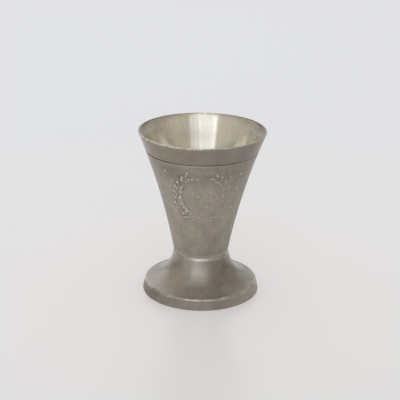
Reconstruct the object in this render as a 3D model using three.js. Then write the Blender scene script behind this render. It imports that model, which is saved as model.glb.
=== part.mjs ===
// Pewter shot cup: a flared cast bowl, soldered into the socket of a hollow cast foot.
// Millimetres, +Z up. The origin is the middle of the ring that the foot stands on.
import * as THREE from "three";

// Bowl, measured up from the shoulder that seats on the solder
const bowlHeight = 44.45;
const mouthRadius = 22.25; // to the corner that the lip's rounding takes off
const bowlBaseRadius = 9.55;
const flareRadius = 225; // of the wall's outward sweep, seen from the side
const bowlWall = 0.8;
const bowlFloor = 2.6; // from under the spigot to the inside of the bowl
const floorFillet = 2.5;
const lipRound = 0.2;
const grooveDrop = 6.55; // from the lip to the middle of the turned line below it
const grooveWidth = 0.5;
const grooveDepth = 0.2;
const shoulderWidth = 0.8; // from the spigot out to the bowl's wall

// Joint: the bowl's spigot stands in the foot's socket, in a film of solder
const socketDepth = 1.8;
const solderFilm = 0.3;
const collarWall = 0.7; // round the socket

// Foot, measured up from the table
const footHeight = 14.2;
const footRadius = 20.85;
const edgeTaper = 1.0; // how far the foot's edge leans in from the table to the brim
const brimHeight = 3.75;
const brimRound = 0.35;
const standRound = 0.4;
const standWidth = 2.3; // of the flat ring on the table
const collarRound = 0.4;
const neckLean = THREE.MathUtils.degToRad(15); // from upright
const neckStraight = 0.9; // from the collar to the start of the cove
const footWall = 1.6;
const deckThickness = 1.6; // under the socket
const deckFillet = 1.0;

// Steps along the profiles and round the axis
const turnSteps = 72;
const wallSteps = 10;
const bandSteps = 3;
const coveSteps = 10;
const filletSteps = 5;
const roundSteps = 3;
const samePoint = 1e-6;

const spigotRadius = bowlBaseRadius - shoulderWidth;
const socketRadius = spigotRadius + solderFilm;
const collarRadius = socketRadius + collarWall;

// A point of a profile: its distance from the axis and its height.
function point(radius, height) {
  return new THREE.Vector2(radius, height);
}

// The point at a distance from one point on the way to another.
function along(from, towards, distance) {
  return towards.clone().sub(from).setLength(distance).add(from);
}

// The shorter arc round a centre from one point to another.
function arc(centre, from, to, steps) {
  const start = from.clone().sub(centre);
  const turn = to.clone().sub(centre).angle() - start.angle();
  const sweep = THREE.MathUtils.euclideanModulo(turn + Math.PI, 2 * Math.PI) - Math.PI;
  const end = start.angle() + sweep;
  const curve = new THREE.ArcCurve(centre.x, centre.y, start.length(), start.angle(), end, sweep < 0);
  return curve.getPoints(steps);
}

// A corner rounded off between a point on each of its sides.
function rounded(from, corner, to) {
  return new THREE.QuadraticBezierCurve(from, corner, to).getPoints(roundSteps);
}

// A piece turned about +Z. Its profile runs from the axis outwards, up and back to the axis.
function turned(name, profile, material) {
  const points = profile.filter((p, i) => i === 0 || p.distanceTo(profile[i - 1]) > samePoint);
  const mesh = new THREE.Mesh(new THREE.LatheGeometry(points, turnSteps).rotateX(Math.PI / 2), material);
  mesh.name = name;
  return mesh;
}

function pewter(color, roughness) {
  return new THREE.MeshStandardMaterial({ color, roughness, metalness: 1 });
}

// The outside of the wall is one arc from the shoulder to the lip. The inside is concentric with it.
function bowlProfile() {
  const base = point(bowlBaseRadius, 0);
  const mouth = point(mouthRadius, bowlHeight);
  const chord = mouth.clone().sub(base);
  const centreDistance = Math.sqrt(flareRadius ** 2 - chord.lengthSq() / 4);
  const middle = base.clone().add(mouth).divideScalar(2);
  const flareCentre = point(chord.y, -chord.x).setLength(centreDistance).add(middle);

  // The wall at a height, some way in from its outside
  function wall(inset, height) {
    const rise = height - flareCentre.y;
    return point(flareCentre.x - Math.sqrt((flareRadius + inset) ** 2 - rise ** 2), height);
  }
  function wallRun(inset, from, to, steps) {
    const heightAt = (i) => THREE.MathUtils.lerp(from, to, i / steps);
    return Array.from({ length: steps + 1 }, (_, i) => wall(inset, heightAt(i)));
  }

  const lipHeight = bowlHeight - lipRound;
  const lipInner = wall(bowlWall, bowlHeight);
  const grooveHeight = bowlHeight - grooveDrop;
  const floorHeight = bowlFloor - socketDepth;
  const filletCentre = wall(bowlWall + floorFillet, floorHeight + floorFillet);
  const filletTop = along(flareCentre, filletCentre, flareRadius + bowlWall);
  return [
    point(0, -socketDepth),
    point(spigotRadius, -socketDepth),
    point(spigotRadius, 0),
    ...wallRun(0, 0, grooveHeight - grooveWidth / 2, wallSteps),
    wall(grooveDepth, grooveHeight),
    ...wallRun(0, grooveHeight + grooveWidth / 2, lipHeight, bandSteps),
    ...rounded(wall(0, lipHeight), mouth, point(mouth.x - lipRound, bowlHeight)),
    ...rounded(point(lipInner.x + lipRound, bowlHeight), lipInner, wall(bowlWall, lipHeight)),
    ...wallRun(bowlWall, lipHeight, filletTop.y, wallSteps),
    ...arc(filletCentre, filletTop, point(filletCentre.x, floorHeight), filletSteps),
    point(0, floorHeight),
  ];
}

// The film fills the socket round and under the spigot, and shows as a line under the bowl's shoulder.
function solderProfile() {
  const spigotFoot = solderFilm - socketDepth;
  return [
    point(0, -socketDepth),
    point(socketRadius, -socketDepth),
    point(socketRadius, 0),
    point(bowlBaseRadius, 0),
    point(bowlBaseRadius, solderFilm),
    point(spigotRadius, solderFilm),
    point(spigotRadius, spigotFoot),
    point(0, spigotFoot),
  ];
}

// Outside, a leaning neck runs smoothly into a cove that meets the tapered edge at the brim.
// The hollow underneath is concentric with the cove, from the deck under the socket to the ring on the table.
function footProfile() {
  const down = point(Math.sin(neckLean), -Math.cos(neckLean));
  const out = point(Math.cos(neckLean), Math.sin(neckLean));
  const collar = point(collarRadius, footHeight);
  const neckTop = point(collarRadius, footHeight - collarRound);
  const coveTop = neckTop.clone().addScaledVector(down, neckStraight);
  const brim = point(footRadius - edgeTaper, brimHeight);
  const reach = brim.clone().sub(coveTop);
  const coveRadius = reach.lengthSq() / (2 * reach.dot(out));
  const coveCentre = coveTop.clone().addScaledVector(out, coveRadius);
  const brimInner = brim.clone().rotateAround(coveCentre, -brimRound / coveRadius);

  const hollowRadius = coveRadius + footWall;
  const socketFloor = footHeight - socketDepth;
  const deckUnder = socketFloor - deckThickness;
  const deckReach = Math.sqrt(hollowRadius ** 2 - (deckUnder - coveCentre.y) ** 2);
  const hollowTop = point(coveCentre.x - deckReach, deckUnder);
  const hollowBend = hollowTop.clone().rotateAround(coveCentre, deckFillet / hollowRadius);
  const standOuter = point(footRadius, 0);
  const standInner = point(footRadius - standRound - standWidth, 0);
  const standReach = Math.sqrt(hollowRadius ** 2 - (standInner.x - coveCentre.x) ** 2);
  const hollowFoot = point(standInner.x, coveCentre.y - standReach);
  return [
    point(0, deckUnder),
    ...rounded(point(hollowTop.x - deckFillet, deckUnder), hollowTop, hollowBend),
    ...arc(coveCentre, hollowBend, hollowFoot, coveSteps),
    standInner,
    ...rounded(point(footRadius - standRound, 0), standOuter, along(standOuter, brim, standRound)),
    ...rounded(along(brim, standOuter, brimRound), brim, brimInner),
    ...arc(coveCentre, brimInner, coveTop, coveSteps),
    ...rounded(neckTop, collar, point(collarRadius - collarRound, footHeight)),
    point(socketRadius, footHeight),
    point(socketRadius, socketFloor),
    point(0, socketFloor),
  ];
}

const foot = turned("foot", footProfile(), pewter(0x8d867b, 0.42));
const neckSolder = turned("neck_solder", solderProfile(), pewter(0xa39c91, 0.35));
const bowl = turned("bowl", bowlProfile(), pewter(0x8b8478, 0.45));
neckSolder.position.z = footHeight;
bowl.position.z = footHeight + solderFilm;

const cup = new THREE.Group();
cup.name = "shot_cup";
cup.add(foot, neckSolder, bowl);
export default cup;
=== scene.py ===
"""The looks of a small pewter shot cup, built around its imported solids. Metres, +Z up, front at -Y."""

import math

import bpy
import numpy as np
from mathutils import Matrix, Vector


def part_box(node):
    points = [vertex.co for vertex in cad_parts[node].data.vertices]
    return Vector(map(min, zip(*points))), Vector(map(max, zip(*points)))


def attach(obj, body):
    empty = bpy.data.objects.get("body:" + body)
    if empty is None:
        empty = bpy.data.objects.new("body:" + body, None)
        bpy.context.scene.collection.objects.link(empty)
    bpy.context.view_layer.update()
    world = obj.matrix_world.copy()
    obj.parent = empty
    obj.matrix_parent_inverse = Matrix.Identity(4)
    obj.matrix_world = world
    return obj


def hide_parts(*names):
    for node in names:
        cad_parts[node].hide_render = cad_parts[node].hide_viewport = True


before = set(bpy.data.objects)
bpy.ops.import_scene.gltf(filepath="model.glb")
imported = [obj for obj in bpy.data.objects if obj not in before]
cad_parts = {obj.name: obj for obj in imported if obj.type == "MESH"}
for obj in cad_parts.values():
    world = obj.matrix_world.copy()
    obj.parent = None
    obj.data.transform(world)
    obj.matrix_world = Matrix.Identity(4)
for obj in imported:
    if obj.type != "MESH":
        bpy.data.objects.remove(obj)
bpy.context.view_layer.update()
MM = 0.001
FULL_TURN = 2 * math.pi
FRONT_AT = 1.5 * math.pi  # the direction of -Y
SAME_POINT = 1e-4 * MM
SHARP_ANGLE = math.radians(60)

# Heights and radii that the solids set
BOWL_LOW, BOWL_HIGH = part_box("bowl")
FOOT_LOW, FOOT_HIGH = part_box("foot")
SOLDER_LOW, SOLDER_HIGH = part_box("neck_solder")
LIP_ROOM = 0.012 * MM  # keeps the rounded lip inside the solid's box
LIP_Z = BOWL_HIGH.z
MOUTH_R = BOWL_HIGH.x - LIP_ROOM
SHOULDER_Z = SOLDER_HIGH.z
BOWL_BASE_R = SOLDER_HIGH.x
SPIGOT_Z = BOWL_LOW.z
SOCKET_Z = SOLDER_LOW.z
COLLAR_Z = FOOT_HIGH.z
FOOT_R = FOOT_HIGH.x

# Bowl
FLARE_R = 225 * MM
BOWL_WALL = 0.8 * MM
BOWL_FLOOR = 2.6 * MM
FLOOR_FILLET = 2.5 * MM
LIP_OUTER_ROUND = 0.28 * MM
LIP_INNER_ROUND = 0.14 * MM
GROOVE_DROP = 6.55 * MM  # from the lip to the middle of the turned line
GROOVE_Z = LIP_Z - GROOVE_DROP
GROOVE_W = 0.5 * MM
GROOVE_DEPTH = 0.19 * MM
GROOVE_CURVE = 0.8  # below 1, the line is rounder than a V
SHOULDER_W = 0.8 * MM
SPIGOT_R = BOWL_BASE_R - SHOULDER_W
BOWL_TURNS = 640

# A nick in the lip at the back
NICK_AT = math.radians(168.5)
NICK_HALF = 0.45 * MM
NICK_DEPTH = 0.25 * MM

# Foot
SOLDER_FILM = 0.3 * MM
SOCKET_R = SPIGOT_R + SOLDER_FILM
COLLAR_WALL = 0.7 * MM
COLLAR_R = SOCKET_R + COLLAR_WALL
COLLAR_ROUND = 0.12 * MM
NECK_LEAN = math.radians(15)
NECK_STRAIGHT = 1.1 * MM
EDGE_TAPER = 0.91 * MM
BRIM_R = FOOT_R - EDGE_TAPER
BRIM_Z = 3.88 * MM
BRIM_ROUND = 0.6 * MM
STAND_ROUND = 0.4 * MM
STAND_WIDTH = 2.3 * MM
FOOT_WALL = 1.6 * MM
DECK_THICKNESS = 1.6 * MM
DECK_Z = SOCKET_Z - DECK_THICKNESS
DECK_FILLET = 1.0 * MM
DECK_FILLET_END = 4  # the point of the hollow's arc that the fillet runs to
FOOT_TURNS = 480

# Bead of solder that fills the crease of the neck
BEAD_OUT = 0.2 * MM
BEAD_REACH = 0.35 * MM  # down the foot and up the bowl
BEAD_R = COLLAR_R + BEAD_OUT
BEAD_LOW = COLLAR_Z - BEAD_REACH
BEAD_HIGH = SHOULDER_Z + BEAD_REACH
BEAD_BULGE = 0.04 * MM
BEAD_UNDER = 0.13 * MM
BEAD_BITE = 0.05 * MM

# Worn wreath in low relief on the front: two sprays of leaves, open at the top
WREATH_Z = 40.2 * MM
WREATH_R = 8.7 * MM
WREATH_FROM = math.radians(10)
WREATH_TO = math.radians(142)
WREATH_LEAVES = 11
WREATH_SEED = 5
WREATH_KEPT = 0.62  # of its height, before it wears unevenly
WREATH_MOST = 1.2
STEM_FROM = math.radians(3)
STEM_HALF = 0.3 * MM
LEAF_LENGTH = 3.3 * MM
LEAF_WIDTH = 1.3 * MM
LEAF_SPREAD = math.radians(27)
LEAF_SWAY = 0.1
LEAF_OFFSET = 0.55 * MM
LEAF_FORWARD = 0.35 * LEAF_LENGTH
LEAF_HEIGHT = 0.5 * MM
LEAF_SIZES = (0.85, 1.1)
LEAF_TAPER = 0.25
LEAF_KEPT = (0.5, 1.0)
LEAF_FULLNESS = 1.9
LEAF_LEAST = 1e-6
LEFT_LEAST = 0.35  # what is left of the left spray's first leaf
LEFT_WHOLE_AT = 0.5  # of the way along that spray
RIGHT_LEAST, RIGHT_MOST = 0.06, 0.4
RIGHT_CURVE = 3
RIB_DEPTH = 0.35
RIB_HALF = 0.16
RELIEF_MARGIN = 2 * MM
RELIEF_FADE = 2 * MM
RELIEF_BLUR, GRIT_BLUR, AROUND_BLUR = 2, 10, 14

# Marks strewn over areas of (angles from the front, heights)
CRUMBS = dict(seed=6, count=18, size=(0.25 * MM, 0.5 * MM), rise=(0.04 * MM, 0.18 * MM),
              area=((-0.75, 0.85), (WREATH_Z - 11 * MM, WREATH_Z + 9 * MM)))
POCKS = dict(seed=8, count=130, size=(0.2 * MM, 0.42 * MM), rise=(-0.05 * MM, -0.015 * MM),
             area=((-math.pi, math.pi), (SHOULDER_Z + RELIEF_FADE, GROOVE_Z - RELIEF_FADE)))
SCORES = dict(seed=12, count=34, size=(0.12 * MM, 0.22 * MM), rise=(-0.04 * MM, -0.015 * MM), long=9,
              area=((-0.2, 1.1), (SHOULDER_Z + 1 * MM, SHOULDER_Z + 10 * MM)))
PITS = dict(seed=21, count=12, size=(0.12 * MM, 0.24 * MM), rise=(-0.03 * MM, -0.008 * MM),
            area=((0.42, 0.8), (5 * MM, 12 * MM)))

# Unevenness, as a height or as a share of wear and painted highlight
WREATH_BROAD = dict(seed=9, around=30, wavelength=3 * MM, rise=0.32)
WREATH_FINE = dict(seed=10, around=100, wavelength=0.9 * MM, rise=0.36, count=60)
WREATH_GRIT = dict(seed=11, around=110, wavelength=0.8 * MM, rise=0.08 * MM, count=60)
BODY_BROAD = dict(seed=3, around=14, wavelength=9 * MM, rise=0.016 * MM)
BODY_FINE = dict(seed=4, around=40, wavelength=3 * MM, rise=0.006 * MM)
LIP_DENTS = dict(seed=15, around=60, wavelength=3 * MM, rise=0.012 * MM)
LIP_BROAD = dict(seed=16, around=50, wavelength=1 * MM, rise=0.4)
LIP_FINE = dict(seed=18, around=180, wavelength=1 * MM, rise=0.4, count=40)
COVE_WAVES = dict(seed=13, around=10, wavelength=8 * MM, rise=0.010 * MM)
EDGE_GRIT = dict(seed=14, around=90, wavelength=2 * MM, rise=0.012 * MM)
BRIM_UNEVEN = dict(seed=17, around=40, wavelength=1 * MM, rise=0.6)
BEAD_WAVES = dict(seed=23, around=30, wavelength=4 * MM, rise=0.012 * MM)

# Camera, from the ellipses of the lip and the foot in the photograph
CAMERA_AT = (0.0, -0.36995, 0.16984)
CAMERA_DOWN = math.radians(20.268)
CAMERA_TURN = math.radians(0.085)
CAMERA_ROLL = math.radians(0.773)
CAMERA_LENS = 100.755
SENSOR_WIDTH = 36.0
CLIP_START = 0.01


# Profiles: arrays of (radius, height), run from the axis below, outwards, up and back to the axis

def arc(centre, start, end, steps):
    """The shorter arc round a centre from one point to another."""
    a, b = np.subtract(start, centre), np.subtract(end, centre)
    first = math.atan2(a[1], a[0])
    sweep = (math.atan2(b[1], b[0]) - first + math.pi) % FULL_TURN - math.pi
    angles = first + sweep * np.linspace(0, 1, steps)
    return np.add(centre, np.hypot(*a) * np.stack([np.cos(angles), np.sin(angles)], 1))


def bend(start, corner, end, steps):
    """A corner rounded off between a point on each of its sides."""
    t = np.linspace(0, 1, steps)[:, None]
    return (1 - t) ** 2 * np.array(start) + 2 * t * (1 - t) * np.array(corner) + t**2 * np.array(end)


def line(start, end, steps):
    return np.linspace(start, end, steps)


def towards(start, end, distance):
    """The point at a distance from one point on the way to another."""
    way = np.subtract(end, start)
    return np.add(start, way * distance / np.hypot(*way))


def direction(angle):
    return np.array([math.cos(angle), math.sin(angle)])


def flare_centre():
    """Centre of the arc that the outside of the bowl's wall follows."""
    base = np.array([BOWL_BASE_R, SHOULDER_Z])
    mouth = np.array([MOUTH_R, LIP_Z - LIP_OUTER_ROUND])
    chord = mouth - base
    outward = np.array([chord[1], -chord[0]]) / np.hypot(*chord)
    return (base + mouth) / 2 + outward * math.sqrt(FLARE_R**2 - chord @ chord / 4)


FLARE_C = flare_centre()


def wall(inset, height):
    """The bowl's wall at a height, some way in from its outside."""
    height = np.asarray(height, float)
    radius = FLARE_C[0] - np.sqrt((FLARE_R + inset) ** 2 - (height - FLARE_C[1]) ** 2)
    return np.stack([radius, height], -1)


def groove_share(height):
    """How far into the turned line a height is: 1 in its middle, 0 at its sides."""
    return np.clip(1 - np.abs(height - GROOVE_Z) / (GROOVE_W / 2), 0, 1)


def bowl_runs():
    """The bowl's profile as (zone, points) runs. The last number of each is its count of points."""
    groove_low, groove_high = GROOVE_Z - GROOVE_W / 2, GROOVE_Z + GROOVE_W / 2
    relief_low, relief_high = WREATH_Z - WREATH_R - RELIEF_MARGIN, WREATH_Z + WREATH_R
    groove_z = np.linspace(groove_low, groove_high, 13)
    groove = np.stack([wall(0, z) - (GROOVE_DEPTH * groove_share(z) ** GROOVE_CURVE, 0) for z in groove_z])
    outer, inner = wall(0, LIP_Z), wall(BOWL_WALL, LIP_Z)
    outer_z, inner_z = LIP_Z - LIP_OUTER_ROUND, LIP_Z - LIP_INNER_ROUND
    floor_z = SPIGOT_Z + BOWL_FLOOR
    fillet_centre = wall(BOWL_WALL + FLOOR_FILLET, floor_z + FLOOR_FILLET)
    fillet_top = towards(FLARE_C, fillet_centre, FLARE_R + BOWL_WALL)
    fillet_foot = np.array([fillet_centre[0], floor_z])
    return [
        ("spigot", line((0, SPIGOT_Z), (SPIGOT_R, SPIGOT_Z), 3)),
        ("spigot", line((SPIGOT_R, SPIGOT_Z), (SPIGOT_R, SHOULDER_Z), 3)),
        ("body", wall(0, np.linspace(SHOULDER_Z, relief_low, 80))),
        ("body", wall(0, np.linspace(relief_low, relief_high, 130))),
        ("body", wall(0, np.linspace(relief_high, groove_low, 20))),
        ("groove", groove),
        ("band", wall(0, np.linspace(groove_high, outer_z, 26))),
        ("lip", bend(wall(0, outer_z), outer, outer - (LIP_OUTER_ROUND, 0), 6)),
        ("lip", line(outer - (LIP_OUTER_ROUND, 0), inner + (LIP_INNER_ROUND, 0), 3)),
        ("lip_inner", bend(inner + (LIP_INNER_ROUND, 0), inner, wall(BOWL_WALL, inner_z), 8)),
        ("inside", wall(BOWL_WALL, np.linspace(inner_z, fillet_top[1], 60))),
        ("inside", arc(fillet_centre, fillet_top, fillet_foot, 12)),
        ("inside", line(fillet_foot, (0, floor_z), 12)),
    ]


def foot_runs():
    """The foot's profile as (zone, points) runs. The last number of each is its count of points."""
    down = np.array([math.sin(NECK_LEAN), -math.cos(NECK_LEAN)])
    out = np.array([math.cos(NECK_LEAN), math.sin(NECK_LEAN)])
    neck_top = np.array([COLLAR_R, COLLAR_Z - COLLAR_ROUND])
    cove_top = neck_top + NECK_STRAIGHT * down
    brim = np.array([BRIM_R, BRIM_Z])
    reach = brim - cove_top
    cove_r = reach @ reach / (2 * reach @ out)
    cove_c = cove_top + cove_r * out
    cove = arc(cove_c, brim, cove_top, 100)
    brim_inner = towards(brim, cove[1], BRIM_ROUND)
    stand = np.array([FOOT_R, FOOT_LOW.z])
    stand_inner = np.array([FOOT_R - STAND_ROUND - STAND_WIDTH, FOOT_LOW.z])
    hollow_r = cove_r + FOOT_WALL
    hollow_top = np.array([cove_c[0] - math.sqrt(hollow_r**2 - (DECK_Z - cove_c[1]) ** 2), DECK_Z])
    hollow_foot_z = cove_c[1] - math.sqrt(hollow_r**2 - (stand_inner[0] - cove_c[0]) ** 2)
    hollow_foot = np.array([stand_inner[0], hollow_foot_z])
    hollow = arc(cove_c, hollow_top, hollow_foot, 60)
    collar = np.array([COLLAR_R, COLLAR_Z])
    return [
        ("under", line((0, DECK_Z), hollow_top - (DECK_FILLET, 0), 8)),
        ("under", bend(hollow_top - (DECK_FILLET, 0), hollow_top, hollow[DECK_FILLET_END], 6)),
        ("under", hollow[DECK_FILLET_END:]),
        ("under", line(hollow_foot, stand_inner, 6)),
        ("stand", line(stand_inner, stand - (STAND_ROUND, 0), 6)),
        ("edge", bend(stand - (STAND_ROUND, 0), stand, towards(stand, brim, STAND_ROUND), 8)),
        ("edge", line(towards(stand, brim, STAND_ROUND), towards(brim, stand, BRIM_ROUND), 18)),
        ("brim", bend(towards(brim, stand, BRIM_ROUND), brim, brim_inner, 10)),
        ("cove", arc(cove_c, brim_inner, cove_top, 80)),
        ("cove", line(cove_top, neck_top, 5)),
        ("collar", bend(neck_top, collar, collar - (COLLAR_ROUND, 0), 12)),
        ("socket", line(collar - (COLLAR_ROUND, 0), (SOCKET_R, COLLAR_Z), 2)),
        ("socket", line((SOCKET_R, COLLAR_Z), (SOCKET_R, SOCKET_Z), 2)),
        ("socket", line((SOCKET_R, SOCKET_Z), (0, SOCKET_Z), 3)),
    ]


def solder_runs():
    """The film in the socket, with a bead round the crease of the neck, as (zone, points) runs."""
    film_z = SOCKET_Z + SOLDER_FILM
    on_collar = (COLLAR_R - COLLAR_ROUND, COLLAR_Z)
    under = np.array([BEAD_R - BEAD_UNDER, BEAD_LOW - BEAD_UNDER])
    outer = np.array([BEAD_R, BEAD_LOW])
    on_bowl = wall(BEAD_BITE, BEAD_HIGH)
    slant = on_bowl - outer
    bulge = BEAD_BULGE * np.array([slant[1], -slant[0]]) / np.hypot(*slant)
    return [
        ("film", line((0, SOCKET_Z), (SOCKET_R, SOCKET_Z), 3)),
        ("film", line((SOCKET_R, SOCKET_Z), (SOCKET_R, COLLAR_Z), 3)),
        ("film", line((SOCKET_R, COLLAR_Z), on_collar, 3)),
        ("film", line(on_collar, under, 3)),
        ("bead", bend(under, outer - (0, BEAD_UNDER / 2), outer, 6)),
        ("bead", bend(outer, (outer + on_bowl) / 2 + bulge, on_bowl, 14)),
        ("film", line(on_bowl, (BOWL_BASE_R, SHOULDER_Z), 5)),
        ("film", line((BOWL_BASE_R, SHOULDER_Z), (SPIGOT_R, SHOULDER_Z), 2)),
        ("film", line((SPIGOT_R, SHOULDER_Z), (SPIGOT_R, film_z), 3)),
        ("film", line((SPIGOT_R, film_z), (0, film_z), 3)),
    ]


# Angles round the cup, and soft shares of them and of heights

def from_angle(angle, at):
    """Angle round the cup from one direction, from minus to plus half a turn."""
    return (angle - at + math.pi) % FULL_TURN - math.pi


def from_front(theta):
    """Angle round the cup from its front, positive to the right."""
    return from_angle(theta, FRONT_AT)


def ahead(front, power=2):
    """1 at the front of the cup, fading to 0 at its back."""
    return np.cos(front / 2) ** power


def ramp(value, start, end):
    """0 up to one value, rising to 1 at another."""
    return np.clip((value - start) / (end - start), 0, 1)


def spot(value, at, half):
    """1 at one value, fading to 0 on both sides of it."""
    return np.exp(-(((value - at) / half) ** 2))


def stretches(front, places):
    """Soft stretches round the cup. Each is (angle from the front, half width, amount), in degrees."""
    total = np.zeros(front.shape)
    for at, turn, amount in places:
        total += amount * spot(from_angle(front, math.radians(at)), 0, math.radians(turn))
    return total


def patches(front, height, places):
    """Soft patches: as stretches, with a height and half height, in millimetres, before the amount."""
    total = np.zeros(np.broadcast(front, height).shape)
    for at, turn, z, half, amount in places:
        total += stretches(front, ((at, turn, amount),)) * spot(height, z * MM, half * MM)
    return total


def blurred(field, times):
    """A field smoothed over its neighbours, round the cup and along the profile."""
    for _ in range(times):
        field = (np.roll(field, 1, 1) + field + np.roll(field, -1, 1)) / 3
        field = (np.vstack([field[:1], field[:-1]]) + field + np.vstack([field[1:], field[-1:]])) / 3
    return field


# Surface shaping, as heights out of the surface

def ripples(theta, height, seed, around, wavelength, rise, count=24):
    """Smooth unevenness of about the size of rise, the same after a full turn."""
    rng = np.random.default_rng(seed)
    total = np.zeros(np.broadcast(theta, height).shape)
    for _ in range(count):
        turns = rng.integers(-around, around + 1)
        climb = rng.uniform(-1, 1) * FULL_TURN / wavelength
        total += np.cos(turns * theta + climb * height + rng.uniform(0, FULL_TURN))
    return rise * (total / math.sqrt(count / 2))


def dots(front, height, radius, seed, count, size, rise, area, long=1.0):
    """Small round bumps, or pits where rise is negative, strewn over an area of (angles, heights)."""
    rng = np.random.default_rng(seed)
    total = np.zeros(np.broadcast(front, height).shape)
    (left, right), (low, high) = area
    for _ in range(count):
        at, z = rng.uniform(left, right), rng.uniform(low, high)
        wide, tall = rng.uniform(*size), rng.uniform(*rise)
        across = from_angle(front, at) * radius
        total += tall * np.exp(-((across / wide) ** 2) - ((height - z) / (wide * long)) ** 2)
    return total


def leaf(u, v, at, angle, length, width):
    """A pointed leaf with a midrib, from 0 to 1 high, on a flat patch with axes u and v."""
    du, dv = u - at[0], v - at[1]
    along = (du * math.cos(angle) + dv * math.sin(angle)) / (length / 2)
    across = (dv * math.cos(angle) - du * math.sin(angle)) / (width / 2)
    room = np.clip(1 - along**2, LEAF_LEAST, None)
    body = np.clip(1 - np.abs(across) / room, 0, 1) * (np.abs(along) < 1)
    rib = 1 - RIB_DEPTH * spot(across, 0, RIB_HALF)
    return np.sin(np.minimum(body * LEAF_FULLNESS, 1) * math.pi / 2) * rib


def left_kept(share):
    """How much of a leaf is left on the left spray, from the first leaf to the last."""
    return LEFT_LEAST + (1 - LEFT_LEAST) * min(1, share / LEFT_WHOLE_AT)


def right_kept(share):
    """How much of a leaf is left on the right spray, which is nearly rubbed away."""
    return RIGHT_LEAST + (RIGHT_MOST - RIGHT_LEAST) * share**RIGHT_CURVE


SPRAYS = ((-1, 0.55, left_kept), (1, 0.1, right_kept))  # side, what is left of the stem and of the leaves


def wreath(theta, height, radius):
    """The worn wreath, as shares of a whole leaf's height."""
    u, v = from_front(theta) * radius, height - WREATH_Z
    rng = np.random.default_rng(WREATH_SEED)
    total = np.zeros(np.broadcast(u, v).shape)
    for side, stem_kept, leaf_kept in SPRAYS:
        for i in range(WREATH_LEAVES):
            share = i / (WREATH_LEAVES - 1)
            turn = WREATH_FROM + (WREATH_TO - WREATH_FROM) * share
            stem = np.array([side * WREATH_R * math.sin(turn), -WREATH_R * math.cos(turn)])
            growth = math.atan2(math.sin(turn), side * math.cos(turn))
            for hand in (-1, 1):
                angle = growth + hand * (LEAF_SPREAD + rng.uniform(-LEAF_SWAY, LEAF_SWAY))
                beside = growth + hand * math.pi / 2
                at = stem + LEAF_OFFSET * direction(beside) + LEAF_FORWARD * direction(angle)
                size = rng.uniform(*LEAF_SIZES) * (1 - LEAF_TAPER * share)
                kept = leaf_kept(share) * rng.uniform(*LEAF_KEPT)
                shape = leaf(u, v, at, angle, LEAF_LENGTH * size, LEAF_WIDTH * size)
                total = np.maximum(total, kept * shape)
        turn = np.arctan2(side * u, -v)
        ridge = np.clip(1 - np.abs(np.hypot(u, v) - WREATH_R) / STEM_HALF, 0, 1)
        total = np.maximum(total, stem_kept * ridge * ((turn > STEM_FROM) & (turn < WREATH_TO)))
    worn = WREATH_KEPT + ripples(theta, height, **WREATH_BROAD) + ripples(theta, height, **WREATH_FINE)
    return total * np.clip(worn, 0, WREATH_MOST)


class Turned:
    """A turned surface: profile points by angles, with what is raised on it, how worn it is, and the
    painted light, shade and cool reflection on it.
    """

    def __init__(self, runs, turns):
        points, zones = [], []
        for zone, run in runs:
            if points and np.allclose(points[-1], run[0], rtol=0, atol=SAME_POINT):
                points.pop()
                zones.pop()
            points.extend(run)
            zones.extend([zone] * len(run))
        self.points, self.zone = np.array(points), np.array(zones)
        slope = np.gradient(self.points, axis=0)
        self.normal = np.stack([slope[:, 1], -slope[:, 0]], 1) / np.hypot(*slope.T)[:, None]
        self.theta = np.arange(turns) * FULL_TURN / turns
        self.front = from_front(self.theta)
        shape = (len(self.points), turns)
        self.raised = np.zeros(shape)
        self.wear_and_highlight = np.zeros(shape)
        self.grime_and_shade = np.zeros(shape)
        self.dull = np.zeros(shape)
        self.painted_cool_reflection = np.zeros(shape)

    def rows(self, *zones):
        return np.isin(self.zone, zones)

    def heights(self, rows):
        return self.points[rows, 1][:, None]

    def radii(self, rows):
        return self.points[rows, 0][:, None]

    def build(self, name, materials):
        """The surface as a closed mesh. materials gives each zone its material."""
        moved_r = self.points[:, :1] + self.normal[:, :1] * self.raised
        moved_z = self.points[:, 1:] + self.normal[:, 1:] * self.raised
        grid = np.stack([moved_r * np.cos(self.theta), moved_r * np.sin(self.theta), moved_z], -1)
        rings, turns = grid.shape[:2]
        inner = grid[1:-1].reshape(-1, 3)
        poles = np.array([[0, 0, self.points[0, 1]], [0, 0, self.points[-1, 1]]])
        verts = np.vstack([inner, poles])
        first_pole, last_pole = len(inner), len(inner) + 1
        j = np.arange(turns)
        k = (j + 1) % turns
        names = list(dict.fromkeys(materials.values()))
        faces, slots = [], []
        for ring in range(rings - 1):
            slot = names.index(materials[self.zone[ring]])
            low, high = (ring - 1) * turns, ring * turns
            if ring == 0:
                made = np.stack([np.full(turns, first_pole), high + k, high + j], 1)
            elif ring == rings - 2:
                made = np.stack([low + j, low + k, np.full(turns, last_pole)], 1)
            else:
                made = np.stack([low + j, low + k, high + k, high + j], 1)
            faces += made.tolist()
            slots += [slot] * turns
        mesh = bpy.data.meshes.new(name)
        mesh.from_pydata(verts.tolist(), [], faces)
        for label in names:
            mesh.materials.append(bpy.data.materials[label])
        mesh.polygons.foreach_set("material_index", slots)
        mesh.polygons.foreach_set("use_smooth", [True] * len(faces))
        fields = {"wear_and_highlight": self.wear_and_highlight, "grime_and_shade": self.grime_and_shade, "dull": self.dull, "painted_cool_reflection": self.painted_cool_reflection}
        for label, field in fields.items():
            values = np.append(field[1:-1].reshape(-1), [field[0, 0], field[-1, 0]])
            attribute = mesh.attributes.new(label, "FLOAT", "POINT")
            attribute.data.foreach_set("value", values.astype(np.float32))
        mesh.update()
        mesh.set_sharp_from_angle(angle=SHARP_ANGLE)
        piece = bpy.data.objects.new(name, mesh)
        bpy.context.scene.collection.objects.link(piece)
        return piece


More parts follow.
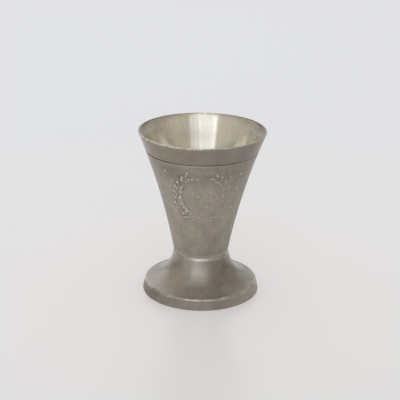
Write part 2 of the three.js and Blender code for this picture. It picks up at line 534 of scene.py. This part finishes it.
class Nodes:
    """A node tree with short calls for the nodes that it is made of."""

    def __init__(self, tree):
        self.tree = tree
        coordinates = self.add("ShaderNodeTexCoord")
        self.place = coordinates.outputs["Object"]
        self.way = coordinates.outputs["Generated"]

    def add(self, kind, **settings):
        node = self.tree.nodes.new(kind)
        for key, value in settings.items():
            setattr(node, key, value)
        return node

    def put(self, socket, value):
        if isinstance(value, bpy.types.NodeSocket):
            self.tree.links.new(value, socket)
        else:
            socket.default_value = value

    def made(self, node, values, output=0):
        for socket, value in zip(node.inputs, values):
            self.put(socket, value)
        return node.outputs[output]

    def math(self, operation, *values):
        return self.made(self.add("ShaderNodeMath", operation=operation), values)

    def vector(self, operation, *values):
        return self.made(self.add("ShaderNodeVectorMath", operation=operation), values)

    def measure(self, operation, *values):
        """A vector operation whose result is a number."""
        return self.made(self.add("ShaderNodeVectorMath", operation=operation), values, "Value")

    def split(self, vector):
        node = self.add("ShaderNodeSeparateXYZ")
        self.put(node.inputs[0], vector)
        return node.outputs

    def join(self, x, y, z):
        return self.made(self.add("ShaderNodeCombineXYZ"), (x, y, z))

    def noise(self, wavelength, vector=None, detail=3.0, roughness=0.55):
        node = self.add("ShaderNodeTexNoise")
        self.put(node.inputs["Vector"], vector or self.place)
        self.put(node.inputs["Scale"], 1 / wavelength)
        self.put(node.inputs["Detail"], detail)
        self.put(node.inputs["Roughness"], roughness)
        return node.outputs["Fac"]

    def spread(self, value, low, high, to_low, to_high, shape="LINEAR"):
        node = self.add("ShaderNodeMapRange", interpolation_type=shape)
        return self.made(node, (value, low, high, to_low, to_high))

    def varied(self, noise, amount, middle=1.0):
        """A noise as a number that strays from its middle by an amount."""
        return self.spread(noise, NOISE_LOW, NOISE_HIGH, middle - amount, middle + amount)

    def mix(self, factor, first, second, blend="MIX"):
        node = self.add("ShaderNodeMix", data_type="RGBA", blend_type=blend)
        for key, value in (("Factor_Float", factor), ("A_Color", first), ("B_Color", second)):
            socket = next(s for s in node.inputs if s.identifier == key)
            self.put(socket, value)
        return next(s for s in node.outputs if s.identifier == "Result_Color")

    def attribute(self, name):
        return self.add("ShaderNodeAttribute", attribute_name=name).outputs["Fac"]

    def around(self, per_turn, along):
        """Coordinates that stretch a texture up the wall: narrow round the axis, long in height."""
        x, y, z = self.split(self.place)
        unit_x, unit_y, _ = self.split(self.vector("NORMALIZE", self.join(x, y, 0.0)))
        return self.join(
            self.math("MULTIPLY", unit_x, per_turn),
            self.math("MULTIPLY", unit_y, per_turn),
            self.math("MULTIPLY", z, along),
        )

    def rings(self, lift, pitch):
        """Coordinates that stretch a texture round the axis, as tool marks from a lathe."""
        x, y, z = self.split(self.place)
        step = self.math("MULTIPLY_ADD", z, lift, self.measure("LENGTH", self.join(x, y, 0.0)))
        return self.join(
            self.math("MULTIPLY", x, RING_CHANGE),
            self.math("MULTIPLY", y, RING_CHANGE),
            self.math("DIVIDE", step, pitch),
        )

    def bump(self, height, distance, under=None):
        node = self.add("ShaderNodeBump")
        self.put(node.inputs["Distance"], distance)
        self.put(node.inputs["Height"], height)
        if under is not None:
            self.put(node.inputs["Normal"], under)
        return node.outputs["Normal"]


# Materials

# colours of bare metal, which also paint highlights
BARE_AND_HIGHLIGHT = (0.66, 0.62, 0.555, 1)
BRIGHT = (0.86, 0.85, 0.81, 1)
IVORY = (0.685, 0.62, 0.51, 1)
# colour of grime, which also paints shade
GRIME_AND_SHADE_COLOUR = (0.075, 0.066, 0.055, 1)
OLIVE = (0.98, 1.0, 0.965, 1)
ROSY = (1.025, 0.988, 0.995, 1)
# tints of a painted cool reflection
LILAC_REFLECTION = (0.98, 1.0, 1.07, 1)
SILVERY_REFLECTION = (0.9, 1.0, 1.25, 1)
NOISE_LOW, NOISE_HIGH = 0.3, 0.7  # where most of a noise lies
TONE_LOW, TONE_HIGH = 0.38, 0.62
TONE_AWAY = (0.31, 0.17, 0.23)  # keeps the warm places off the clouds
TONE_SIZE = 7 * MM
CLOUD_SIZE = 6 * MM
BLOTCH_SIZE = 2.8 * MM
SPECK_SIZE = 1.1 * MM
GRAIN_SIZE = 0.7 * MM
BLOTCH_SHARE = 0.6  # of the clouds' mottle
STREAKS_ROUND, STREAKS_UP = 34, 160
RING_CHANGE = 12.0  # round the cup, per metre
ROUGH_VARIES = 0.05
WEAR_ROUGHENS = -0.10
SOIL_ROUGHENS = 0.20
TURNED_ROTATION = 0.25


def pewter(name, colour, roughness, mottle=0.14, speckle=0.08, grain=0.0, marks=None, streaks=0.0,
           turned=0.0, bare_and_highlight=BARE_AND_HIGHLIGHT, reflection_tint=LILAC_REFLECTION):
    """Aged pewter: cloudy grey with grime in the hollows and bare metal where it is rubbed. The same
    attributes also darken it with painted shade, lighten it with painted highlights and tint it with a
    painted cool reflection.

    marks is (lift, pitch, depth) of a lathe's tool marks. turned is how much they draw out highlights.
    """
    material = bpy.data.materials.new(name)
    material.use_nodes = True
    n = Nodes(material.node_tree)
    surface = material.node_tree.nodes["Principled BSDF"]
    cloud = n.noise(CLOUD_SIZE, detail=4)
    warmth = n.noise(TONE_SIZE, detail=2, vector=n.vector("ADD", n.place, TONE_AWAY))
    tone = n.mix(n.spread(warmth, TONE_LOW, TONE_HIGH, 0.0, 1.0), OLIVE, ROSY)
    base = n.mix(1.0, (*colour, 1), tone, "MULTIPLY")
    layers = [
        (n.noise(BLOTCH_SIZE, detail=1), BLOTCH_SHARE * mottle),
        (n.noise(SPECK_SIZE, detail=4), speckle),
    ]
    if streaks:
        layers.append((n.noise(1.0, n.around(STREAKS_ROUND, STREAKS_UP), detail=4), streaks))
    shade = n.varied(cloud, mottle)
    for noise, amount in layers:
        shade = n.math("MULTIPLY", shade, n.varied(noise, amount))
    tint = n.made(n.add("ShaderNodeCombineColor"), (shade, shade, shade))
    base = n.mix(1.0, base, tint, "MULTIPLY")
    # painted cool reflection
    base = n.mix(n.attribute("painted_cool_reflection"), base, n.mix(1.0, base, reflection_tint, "MULTIPLY"))
    wear_and_highlight, grime_and_shade = n.attribute("wear_and_highlight"), n.attribute("grime_and_shade")
    # grime, and painted shade
    base = n.mix(grime_and_shade, base, GRIME_AND_SHADE_COLOUR)
    # bare metal where rubbed, and painted highlights
    base = n.mix(wear_and_highlight, base, bare_and_highlight)
    n.put(surface.inputs["Base Color"], base)
    surface.inputs["Metallic"].default_value = 1.0
    rough = n.varied(cloud, ROUGH_VARIES, roughness)
    rough = n.math("MULTIPLY_ADD", wear_and_highlight, WEAR_ROUGHENS, rough)
    rough = n.math("MULTIPLY_ADD", grime_and_shade, SOIL_ROUGHENS, rough)
    rough = n.math("ADD", n.attribute("dull"), rough)
    n.put(surface.inputs["Roughness"], rough)
    if turned:
        surface.inputs["Anisotropic"].default_value = turned
        surface.inputs["Anisotropic Rotation"].default_value = TURNED_ROTATION
        tangent = n.add("ShaderNodeTangent", direction_type="RADIAL", axis="Z")
        n.put(surface.inputs["Tangent"], tangent.outputs[0])
    normal = None
    if grain:
        normal = n.bump(n.noise(GRAIN_SIZE, detail=5, roughness=0.6), grain)
    if marks:
        lift, pitch, depth = marks
        normal = n.bump(n.noise(1.0, n.rings(lift, pitch), detail=3), depth, normal)
    if normal is not None:
        n.put(surface.inputs["Normal"], normal)
    return material.name


CAST = pewter("pewter_cast", (0.424, 0.387, 0.335), 0.45, mottle=0.11, speckle=0.07, grain=0.014 * MM,
              streaks=0.025)
BAND = pewter("pewter_band", (0.308, 0.274, 0.228), 0.31, mottle=0.07, speckle=0.05, grain=0.004 * MM,
              marks=(1.0, 0.12 * MM, 0.003 * MM), turned=0.5, bare_and_highlight=IVORY)
INSIDE = pewter("pewter_inside", (0.79, 0.745, 0.622), 0.17, mottle=0.04, speckle=0.02,
                marks=(1.0, 0.2 * MM, 0.001 * MM), streaks=0.05, turned=0.6, bare_and_highlight=BRIGHT, reflection_tint=SILVERY_REFLECTION)
TURNED = pewter("pewter_turned", (0.394, 0.358, 0.315), 0.30, mottle=0.08, speckle=0.05,
                grain=0.002 * MM, marks=(-1.0, 0.14 * MM, 0.004 * MM), streaks=0.04, turned=0.4)
EDGE = pewter("pewter_edge", (0.335, 0.303, 0.262), 0.46, mottle=0.12, speckle=0.08, grain=0.010 * MM,
              marks=(1.0, 0.2 * MM, 0.004 * MM))
UNDER = pewter("pewter_underside", (0.27, 0.245, 0.21), 0.48, mottle=0.14, grain=0.008 * MM,
               marks=(-1.0, 0.3 * MM, 0.008 * MM))
SOLDER = pewter("pewter_solder", (0.42, 0.385, 0.335), 0.34, mottle=0.12, grain=0.008 * MM)


# Age of the metal, and painted light and shade, in amounts from 0 to 1: the cast body and the turned line
TOPS_WEAR = 0.95  # on what stands out of the wall
HOLLOWS_SOIL = 0.6  # in what lies deeper than the wall
MARK_STEP = 0.09 * MM  # in or out, for all of either
# painted highlight just under the turned line, brightest left of the front
LINE_HIGHLIGHT_DROP = 0.55 * MM
LINE_HIGHLIGHT_HALF = 0.22 * MM
LINE_HIGHLIGHT = 0.1
LINE_HIGHLIGHT_STRETCHES = ((-12, 21, 0.2),)
# a lighter band on the wall just above the seam
ABOVE_SEAM_RISE = 0.75 * MM
ABOVE_SEAM_HALF = 0.55 * MM
ABOVE_SEAM_LIGHTER = 0.38
SIDE_TURN = math.radians(60)
AWAY = (math.radians(48.5), math.radians(71.5))
# painted light left of the front and towards the sides, painted shade right of the front
BODY_LEFT_LIGHT = 0.05
BODY_AWAY_LIGHT = 0.12
BODY_RIGHT_SHADE = 0.13
BODY_SHADE_OFFSET = 0.03
# painted shade on the upper wall, where it reflects the cup's shadow on the floor
UPPER_SHADE, UPPER_RIGHT_SHADE = 0.17, 0.04
UPPER = (WREATH_Z + 2 * MM, WREATH_Z + 8 * MM)
LOWER = (WREATH_Z - 9 * MM, WREATH_Z - 17 * MM)
# darker towards the bottom
LOWER_DARKENING = 0.03
BODY_STAINS = ((-33, 15, 49.2, 2.6, 0.2), (-19, 10, 44.2, 2.0, 0.15))
BODY_RUBS = ((-14, 11, 50.2, 1.5, 0.07), (49, 9, 20, 2.5, 0.08), (-7, 14, 23, 4, 0.06))
# painted cool reflection towards the sides
BODY_COOL_REFLECTION = (math.radians(40), math.radians(63))
# grime in the turned line with painted shade, stronger on the left and lighter in two stretches
GROOVE_GRIME_AND_SHADE, GROOVE_LEFT_SHADE = 0.85, 0.25
GROOVE_LIGHTER = ((-12, 21, 0.45), (54, 14, 0.6))

# Age of the band and the lip, and painted light and shade on them
# painted shade right of the front, painted light left of it and towards the sides, and a painted cool
# reflection right of the front
BAND_RIGHT_SHADE = 0.2
BAND_LEFT_LIGHT = 0.1
BAND_AWAY_LIGHT = 0.1
BAND_COOL_REFLECTION = (math.radians(-8.5), math.radians(20))
# wear all round the lip, and painted highlights at its front, outside and inside
LIP_WEAR, LIP_FRONT_HIGHLIGHT, LIP_INNER_HIGHLIGHT = 0.12, 0.4, 0.55
# painted glints left of the front, fewer a little right of it
LIP_GLINTS = ((-43, 31.5, 0.6), (9, 8.5, -0.25))
# lighter at the back of the lip
LIP_BACK_LIGHTER = ((176, 17, 0.9),)
# painted shade at the lip's sides
LIP_SIDE_SHADE = ((-118, 26, 0.65), (120, 28, 0.65))
NICK_SOIL = 0.6

# Age of the inside, and painted shade, highlights and cool reflections on it
RIM_DEPTH = 1.3 * MM
# painted shade just under the lip at the sides, left out in these stretches
RIM_SHADE = 0.46
RIM_SHADE_GAPS = ((-108, 18, 0.95), (114, 13, 0.95))
BACK_AT = math.radians(-174)
BACK_TURN = math.radians(23)
BACK_LOW, BACK_LOW_HALF = 7.5 * MM, 2.6 * MM
# painted shade low at the back
BACK_LOW_SHADE = 0.13
# painted cool reflection at the back
BACK_COOL_REFLECTION = 0.13
# painted highlight at the back
BACK_HIGHLIGHT_DEPTHS = (9 * MM, 11 * MM)
BACK_HIGHLIGHT = 0.1
ENDS = ((-106, 17, 1.0), (107, 17, 1.0))  # left and right
ENDS_LINE = 0.45 * MM
# painted shade along the inner edge at both ends
ENDS_SHADE = 0.7
ENDS_DEPTH = 1.5 * MM
ENDS_DULL = 0.8
# painted cool reflection at the ends
ENDS_COOL_REFLECTION = ((-92, 20, 1.0), (102, 25, 0.65))
# painted light at the left end
LEFT_END = (0.7, 0.84)  # sine of the angle to the left
LEFT_END_LIT_DEPTHS = (1 * MM, 2.5 * MM)
LEFT_END_LIGHT = 0.3
# painted shade in patches, and a painted highlight under the lip at the left end
INSIDE_SHADE = ((-132, 22, 52.4, 4.5, 0.11), (146, 10, 54, 3.5, 0.1))
INSIDE_HIGHLIGHT = ((-112, 11, 57.0, 1.2, 0.8),)

# Age of the foot and the seam, and painted light and shade on them
# painted light to the left of the cove
COVE_LEFT_LIGHT = 0.16
COVE_SHADE = ((45, 25, 0.2),)
# painted shade in patches
COVE_SHADE_PATCHES = (
    (18, 16, 6.6, 2.2, 0.2), (-86, 13, 4.8, 1.4, 0.2), (83, 14, 4.6, 1.2, 0.25), (-11, 17, 6.2, 0.9, 0.07),
)
# painted light in patches
COVE_LIGHT_PATCHES = ((-54, 16, 5.6, 1.6, 0.2), (-9, 28, 4.3, 0.8, 0.22), (36, 12, 5, 1.1, 0.13))
PIT_STEP = 0.08 * MM
PIT_SOIL = 0.4
NECK = (9.5 * MM, 12.5 * MM)
# painted highlight at the top of the cove, left of the front
NECK_HIGHLIGHT = ((-18.5, 24, 0.3),)
NECK_DULL = 0.18
BRIM_DULL = 0.25
BRIM_DULL_RISE = 4 * MM
# painted light right of the foot's edge, painted shade to its left, and more of each in stretches
EDGE_RIGHT_LIGHT, EDGE_LEFT_SHADE = 0.42, 0.08
EDGE_LIGHTER = ((-28.5, 17, 0.12),)
EDGE_SHADE = ((19, 11.5, 0.2), (-3, 9, 0.1))
# wear on the brim and the collar, also painted highlights along them
BRIM_WEAR_AND_HIGHLIGHT, BRIM_LEAST_WEAR = 0.34, 0.05
COLLAR_WEAR_AND_HIGHLIGHT = 0.3
# wear on the bead, and a painted highlight at its front
BEAD_WEAR, BEAD_FRONT_HIGHLIGHT = 0.15, 0.5


def to_side(front):
    """From -1 on the left of the cup to 1 on its right."""
    return np.clip(front / SIDE_TURN, -1, 1)


def nick(front):
    """1 in the middle of the nick in the lip, fading to 0 at its sides."""
    return spot(from_angle(front, NICK_AT), 0, NICK_HALF / MOUTH_R)


def shape_body(cup):
    """The wreath, casting marks and scores, bare on what stands out and soiled in the hollows."""
    body = cup.rows("body")
    z, radius = cup.heights(body), cup.radii(body)
    fade = ramp(z, SHOULDER_Z, SHOULDER_Z + RELIEF_FADE) * ramp(z, GROOVE_Z, GROOVE_Z - RELIEF_FADE)
    relief = blurred(wreath(cup.theta, z, radius), RELIEF_BLUR)
    grit = ripples(cup.theta, z, **WREATH_GRIT) * blurred(relief, GRIT_BLUR)
    marks = sum(dots(cup.front, z, radius, **kind) for kind in (CRUMBS, POCKS, SCORES))
    detail = LEAF_HEIGHT * relief + grit + fade * marks
    uneven = ripples(cup.theta, z, **BODY_BROAD) + ripples(cup.theta, z, **BODY_FINE)
    cup.raised[body] = detail + fade * uneven
    step = (detail - blurred(detail, AROUND_BLUR)) / MARK_STEP
    cup.wear_and_highlight[body] = TOPS_WEAR * np.clip(step, 0, 1)
    cup.grime_and_shade[body] = HOLLOWS_SOIL * np.clip(-step, 0, 1)


def age_body(cup):
    """The cast wall, with painted shade to the right and above, painted light to the left and towards the
    sides, a painted highlight under the turned line, a lighter band just above the seam, darker towards
    the bottom, and a painted cool reflection towards the sides.
    """
    front, body = cup.front, cup.rows("body")
    z = cup.heights(body)
    side, away = to_side(front), ramp(np.abs(front), *AWAY)
    # painted highlight just under the turned line
    line_highlight = (LINE_HIGHLIGHT + stretches(front, LINE_HIGHLIGHT_STRETCHES)) * spot(z, GROOVE_Z - LINE_HIGHLIGHT_DROP, LINE_HIGHLIGHT_HALF)
    # lighter just above the seam
    above_seam = ABOVE_SEAM_LIGHTER * spot(z, SHOULDER_Z + ABOVE_SEAM_RISE, ABOVE_SEAM_HALF)
    upper, lower = ramp(z, *UPPER), ramp(z, *LOWER)
    cup.wear_and_highlight[body] = np.maximum(cup.wear_and_highlight[body], line_highlight + above_seam)
    # painted light left of the front
    cup.wear_and_highlight[body] += BODY_LEFT_LIGHT * np.clip(-side, 0, 1) * ahead(front)
    # painted light towards the sides, above, and rubbed patches
    cup.wear_and_highlight[body] += BODY_AWAY_LIGHT * upper * away + patches(front, z, BODY_RUBS)
    # painted shade right of the front
    cup.grime_and_shade[body] += np.clip(BODY_RIGHT_SHADE * side + BODY_SHADE_OFFSET, 0, 1) * ahead(front)
    # painted shade above, where the wall reflects the cup's shadow on the floor
    cup.grime_and_shade[body] += (UPPER_SHADE + UPPER_RIGHT_SHADE * side) * upper * (1 - away)
    # darker towards the bottom, and stains in patches
    cup.grime_and_shade[body] += LOWER_DARKENING * lower + patches(front, z, BODY_STAINS)
    # painted cool reflection towards the sides
    cup.painted_cool_reflection[body] = ramp(np.abs(front), *BODY_COOL_REFLECTION)


def age_band(cup):
    """The dark turned line and the smooth band above it, both with painted light and shade."""
    front, groove, band = cup.front, cup.rows("groove"), cup.rows("band")
    side = to_side(front)
    # grime and painted shade in the turned line, stronger on the left and lighter in two stretches
    line_grime_and_shade = (GROOVE_GRIME_AND_SHADE - GROOVE_LEFT_SHADE * side) * (1 - stretches(front, GROOVE_LIGHTER))
    cup.grime_and_shade[groove] = line_grime_and_shade * np.sqrt(groove_share(cup.heights(groove)))
    # painted shade to the right
    cup.grime_and_shade[band] = BAND_RIGHT_SHADE * np.clip(side, 0, 1) * ahead(front)
    # painted light to the left
    cup.wear_and_highlight[band] = BAND_LEFT_LIGHT * np.clip(-side, 0, 1) * ahead(front)
    # painted light towards the sides
    cup.wear_and_highlight[band] += BAND_AWAY_LIGHT * ramp(np.abs(front), *AWAY)
    # painted cool reflection right of the front
    cup.painted_cool_reflection[band] = ramp(front, *BAND_COOL_REFLECTION)


def age_lip(cup):
    """The lip, dented and nicked, a little worn all round, with painted highlights and glints at the
    front, lighter at the back, and with painted shade at its sides.
    """
    front, top, inner = cup.front, cup.rows("lip"), cup.rows("lip_inner")
    lip = top | inner
    frontal = np.cos(front) ** 2 * ahead(front)
    glints = stretches(front, LIP_GLINTS)
    back_lighter = stretches(front, LIP_BACK_LIGHTER) * (1 - nick(front))
    uneven = 1 + ripples(cup.theta, 0, **LIP_BROAD) + ripples(cup.theta, 0, **LIP_FINE)
    # a little wear, with painted highlights and glints at the front and lighter at the back
    cup.wear_and_highlight[top] = np.clip(LIP_WEAR + (LIP_FRONT_HIGHLIGHT * frontal + glints) * uneven + back_lighter, 0, 1)
    # painted highlights at the front, lighter at the back
    cup.wear_and_highlight[inner] = np.clip(LIP_INNER_HIGHLIGHT * frontal + glints + back_lighter, 0, 1)
    # grime in the nick, and painted shade at the lip's sides
    cup.grime_and_shade[lip] = NICK_SOIL * nick(front) + stretches(front, LIP_SIDE_SHADE)
    dents = ripples(cup.theta, cup.heights(lip), **LIP_DENTS)
    cup.raised[lip] = dents - dents.max() - NICK_DEPTH * nick(front)


def age_inside(cup):
    """The inside, with painted shade under the lip, low at the back, at its two ends and in patches, dull
    at its two ends, a painted cool reflection at the ends and the back, and painted highlights at the
    back, at the left end and under the lip there.
    """
    front, inside = cup.front, cup.rows("inside")
    z = cup.heights(inside)
    depth = LIP_Z - z
    back = np.exp(-((from_angle(front, BACK_AT) / BACK_TURN) ** 4))
    ends = stretches(front, ENDS)
    # painted shade just under the lip at the sides
    rim = spot(depth, 0, RIM_DEPTH) * np.abs(np.sin(front)) * (1 - stretches(front, RIM_SHADE_GAPS))
    # with painted shade low at the back
    grime_and_shade = RIM_SHADE * rim + BACK_LOW_SHADE * back * spot(depth, BACK_LOW, BACK_LOW_HALF)
    # painted shade in patches
    grime_and_shade += patches(front, z, INSIDE_SHADE)
    # painted shade along the inner edge at both ends and at the nick
    edge = spot(depth, 0, ENDS_LINE) * np.clip(ENDS_SHADE * (ends + nick(front)), 0, 1)
    cup.grime_and_shade[inside] = np.maximum(grime_and_shade, edge)
    # painted cool reflection at the ends and the back
    cup.painted_cool_reflection[inside] = (stretches(front, ENDS_COOL_REFLECTION) + BACK_COOL_REFLECTION * back) * ramp(depth, 0, ENDS_DEPTH)
    cup.dull[inside] = ENDS_DULL * ends * spot(depth, ENDS_DEPTH, ENDS_DEPTH)
    # painted light at the left end
    cup.wear_and_highlight[inside] = LEFT_END_LIGHT * ramp(-np.sin(front), *LEFT_END) * ramp(depth, *LEFT_END_LIT_DEPTHS)
    # painted highlight at the back, and painted highlights in patches
    cup.wear_and_highlight[inside] += BACK_HIGHLIGHT * back * ramp(depth, *BACK_HIGHLIGHT_DEPTHS) + patches(front, z, INSIDE_HIGHLIGHT)


def age_cove(foot):
    """The foot's cove, wavy and pitted with grime in the pits, dull at the front, with painted shade to
    the right and in patches, and painted light to the left, at the neck and in patches.
    """
    front, cove = foot.front, foot.rows("cove")
    z = foot.heights(cove)
    side = np.sin(front) * ahead(front)
    low, high = ramp(z, BRIM_Z + BRIM_DULL_RISE, BRIM_Z), ramp(z, *NECK)
    pits = dots(front, z, foot.radii(cove), **PITS)
    foot.raised[cove] = ripples(foot.theta, z, **COVE_WAVES) + pits
    foot.dull[cove] = BRIM_DULL * low * ahead(front, power=12) + NECK_DULL * high * ahead(front, power=8)
    # painted light to the left, and a painted highlight at the neck
    foot.wear_and_highlight[cove] = COVE_LEFT_LIGHT * np.clip(-side, 0, 1) + high * stretches(front, NECK_HIGHLIGHT)
    # painted light in patches
    foot.wear_and_highlight[cove] += patches(front, z, COVE_LIGHT_PATCHES)
    # painted shade to the right and in patches
    foot.grime_and_shade[cove] = stretches(front, COVE_SHADE) + patches(front, z, COVE_SHADE_PATCHES)
    foot.grime_and_shade[cove] += np.clip(-pits / PIT_STEP, 0, PIT_SOIL)


def age_edge(foot):
    """The foot's rough edge, with painted light to the right and painted shade to the left, and its brim
    and collar, worn and made brighter as painted highlights.
    """
    front, edge = foot.front, foot.rows("edge")
    z = foot.heights(edge)
    side = np.sin(front) * ahead(front)
    grit = ripples(foot.theta, z, **EDGE_GRIT)
    foot.raised[edge] = (grit - grit.max()) * ramp(z, 0, STAND_ROUND)
    # painted light to the right and left of the front
    foot.wear_and_highlight[edge] = EDGE_RIGHT_LIGHT * np.clip(side, 0, 1) + stretches(front, EDGE_LIGHTER)
    # painted shade to the left and at the front
    foot.grime_and_shade[edge] = EDGE_LEFT_SHADE * np.clip(-side, 0, 1) + stretches(front, EDGE_SHADE)
    uneven = 1 + ripples(foot.theta, 0, **BRIM_UNEVEN)
    # worn brim, also a painted highlight
    foot.wear_and_highlight[foot.rows("brim")] = np.clip(BRIM_WEAR_AND_HIGHLIGHT * uneven, BRIM_LEAST_WEAR, 1)
    # worn collar, also a painted highlight
    foot.wear_and_highlight[foot.rows("collar")] = COLLAR_WEAR_AND_HIGHLIGHT


# Pieces

def make_bowl():
    cup = Turned(bowl_runs(), BOWL_TURNS)
    shape_body(cup)
    age_body(cup)
    age_band(cup)
    age_lip(cup)
    age_inside(cup)
    piece = cup.build("bowl_pewter", {
        "spigot": CAST, "body": CAST, "groove": CAST, "band": BAND, "lip": BAND, "lip_inner": BAND,
        "inside": INSIDE,
    })
    place(piece, "bowl")


def make_foot():
    foot = Turned(foot_runs(), FOOT_TURNS)
    age_cove(foot)
    age_edge(foot)
    piece = foot.build("foot_pewter", {
        "under": UNDER, "stand": EDGE, "edge": EDGE, "brim": TURNED, "cove": TURNED, "collar": TURNED,
        "socket": UNDER,
    })
    place(piece, "foot")


def make_solder():
    seam = Turned(solder_runs(), FOOT_TURNS)
    bead = seam.rows("bead")
    seam.raised[bead] = ripples(seam.theta, seam.heights(bead), **BEAD_WAVES)
    # wear on the bead, and a painted highlight at its front
    seam.wear_and_highlight[bead] = BEAD_WEAR + BEAD_FRONT_HIGHLIGHT * ahead(seam.front, power=4)
    piece = seam.build("neck_solder_seam", {"film": SOLDER, "bead": SOLDER})
    place(piece, "neck_solder")


def place(piece, node):
    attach(piece, "root")
    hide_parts(node)


# Stage, light and camera

FLOOR_R = 6.0
FLOOR_SIDES = 96
FLOOR_FADE = (0.05, 0.2)
# painted warm light near the cup, as if thrown back from the pewter
FLOOR_NEAR_PAINTED_WARMTH = (0.738, 0.731, 0.731, 1)
FLOOR_FAR = (0.69, 0.706, 0.732, 1)
FLOOR_GLOW = 0.345
FLOOR_ROUGHNESS = 0.33
FLOOR_SHINE = 0.7
BACKDROP = (0.735, 0.742, 0.754)
ROOM_LEFT = 0.52
ROOM_RIGHT = 0.44
WARM = (1.05, 1.0, 0.92)
COOL = (0.92, 1.0, 1.17)
HORIZON = (0.09, 0.27)
HORIZON_SHARE = 0.42
ROOM_GLOWS = (  # colour, direction, cosine of the angle where the glow starts, and amount
    (COOL, (-0.1, 0.995, 0.0), 0.5, 0.56),
    (COOL, (-0.72, -0.69, 0.0), 0.65, 0.12),
    (WARM, (0.77, -0.64, 0.0), 0.78, 0.13),
    (COOL, (-0.64, 0.77, 0.0), 0.76, 0.14),
    (WARM, (0.0, 0.0, 1.0), 0.75, 0.15),
)
LAMP_DISTANCE = 3.0
KEY_PARTS = (  # name, angles from the front, and radiance
    ("key", (-29, 5), 0.66),
    ("key_side", (5, 14), 0.42),
    ("key_wing", (14, 26.8), 0.43),
    ("key_edge", (-29, -23), 0.23),
)
KEY_TIERS = (("low", (7, 36), 1.0), ("middle", (36, 50), 0.55), ("high", (50, 66), 0.35))


def make_floor():
    bpy.ops.mesh.primitive_circle_add(
        vertices=FLOOR_SIDES, radius=FLOOR_R, fill_type="NGON", location=(0, 0, 0))
    floor = bpy.context.object
    floor.name = "floor"
    material = bpy.data.materials.new("floor")
    material.use_nodes = True
    n = Nodes(material.node_tree)
    surface = material.node_tree.nodes["Principled BSDF"]
    # painted warm light near the cup, cooler further away
    away = n.spread(n.measure("LENGTH", n.place), *FLOOR_FADE, 0.0, 1.0)
    colour = n.mix(away, FLOOR_NEAR_PAINTED_WARMTH, FLOOR_FAR)
    n.put(surface.inputs["Base Color"], colour)
    surface.inputs["Roughness"].default_value = FLOOR_ROUGHNESS
    surface.inputs["Specular IOR Level"].default_value = FLOOR_SHINE
    path = n.add("ShaderNodeLightPath").outputs
    seen = n.math("MAXIMUM", path["Is Camera Ray"], path["Is Glossy Ray"])
    seen = n.math("MAXIMUM", seen, path["Is Transmission Ray"])
    n.put(surface.inputs["Emission Color"], colour)
    n.put(surface.inputs["Emission Strength"], n.math("MULTIPLY", seen, FLOOR_GLOW))
    floor.data.materials.append(material)


def softbox(name, azimuths, elevations, radiance):
    """A soft lamp that faces the cup and spans these angles, in degrees, from the front and the floor."""
    azimuth, turn = math.radians(sum(azimuths) / 2), math.radians(azimuths[1] - azimuths[0])
    elevation, rise = math.radians(sum(elevations) / 2), math.radians(elevations[1] - elevations[0])
    light = bpy.data.lights.new(name, "AREA")
    light.shape = "RECTANGLE"
    light.size = 2 * LAMP_DISTANCE * math.tan(turn / 2)
    light.size_y = 2 * LAMP_DISTANCE * math.tan(rise / 2)
    light.energy = math.pi * light.size * light.size_y * radiance
    light.color = COOL
    lamp = bpy.data.objects.new(name, light)
    flat, height = LAMP_DISTANCE * math.cos(elevation), LAMP_DISTANCE * math.sin(elevation)
    lamp.location = (flat * math.sin(azimuth), -flat * math.cos(azimuth), height)
    lamp.rotation_euler = (math.pi / 2 - elevation, 0, azimuth)
    bpy.context.scene.collection.objects.link(lamp)


def room(n, colour, level):
    """A share of the room's light."""
    node = n.add("ShaderNodeBackground")
    node.inputs["Color"].default_value = (*colour, 1)
    n.put(node.inputs["Strength"], level)
    return node.outputs[0]


def make_light():
    world = bpy.data.worlds.new("studio")
    world.use_nodes = True
    world.node_tree.nodes.clear()
    n = Nodes(world.node_tree)
    right, _, up = n.split(n.way)
    rise = n.spread(up, *HORIZON, HORIZON_SHARE, 1.0, "SMOOTHSTEP")
    sides = n.spread(right, -1.0, 1.0, ROOM_LEFT, ROOM_RIGHT)
    light = room(n, WARM, n.math("MULTIPLY", sides, rise))
    for colour, way, start, amount in ROOM_GLOWS:
        facing = n.measure("DOT_PRODUCT", n.way, way)
        glow = n.spread(facing, start, 1.0, 0.0, amount, "SMOOTHSTEP")
        added = room(n, colour, n.math("MULTIPLY", glow, rise))
        light = n.made(n.add("ShaderNodeAddShader"), (light, added))
    backdrop = room(n, BACKDROP, 1.0)
    seen = n.add("ShaderNodeLightPath").outputs["Is Camera Ray"]
    shown = n.made(n.add("ShaderNodeMixShader"), (seen, light, backdrop))
    n.put(n.add("ShaderNodeOutputWorld").inputs["Surface"], shown)
    bpy.context.scene.world = world
    for tier, elevations, share in KEY_TIERS:
        for part, azimuths, radiance in KEY_PARTS:
            softbox(part + "_" + tier, azimuths, elevations, radiance * share)


def make_camera():
    data = bpy.data.cameras.new("camera")
    data.lens = CAMERA_LENS
    data.sensor_width = SENSOR_WIDTH
    data.clip_start = CLIP_START
    camera = bpy.data.objects.new("camera", data)
    bpy.context.scene.collection.objects.link(camera)
    camera.matrix_world = (
        Matrix.Translation(CAMERA_AT)
        @ Matrix.Rotation(CAMERA_TURN, 4, "Z")
        @ Matrix.Rotation(math.pi / 2 - CAMERA_DOWN, 4, "X")
        @ Matrix.Rotation(CAMERA_ROLL, 4, "Z")
    )
    bpy.context.scene.camera = camera


make_camera()
make_bowl()
make_foot()
make_solder()
make_floor()
make_light()
bpy.context.scene.view_settings.view_transform = "Standard"

bpy.context.view_layer.update()
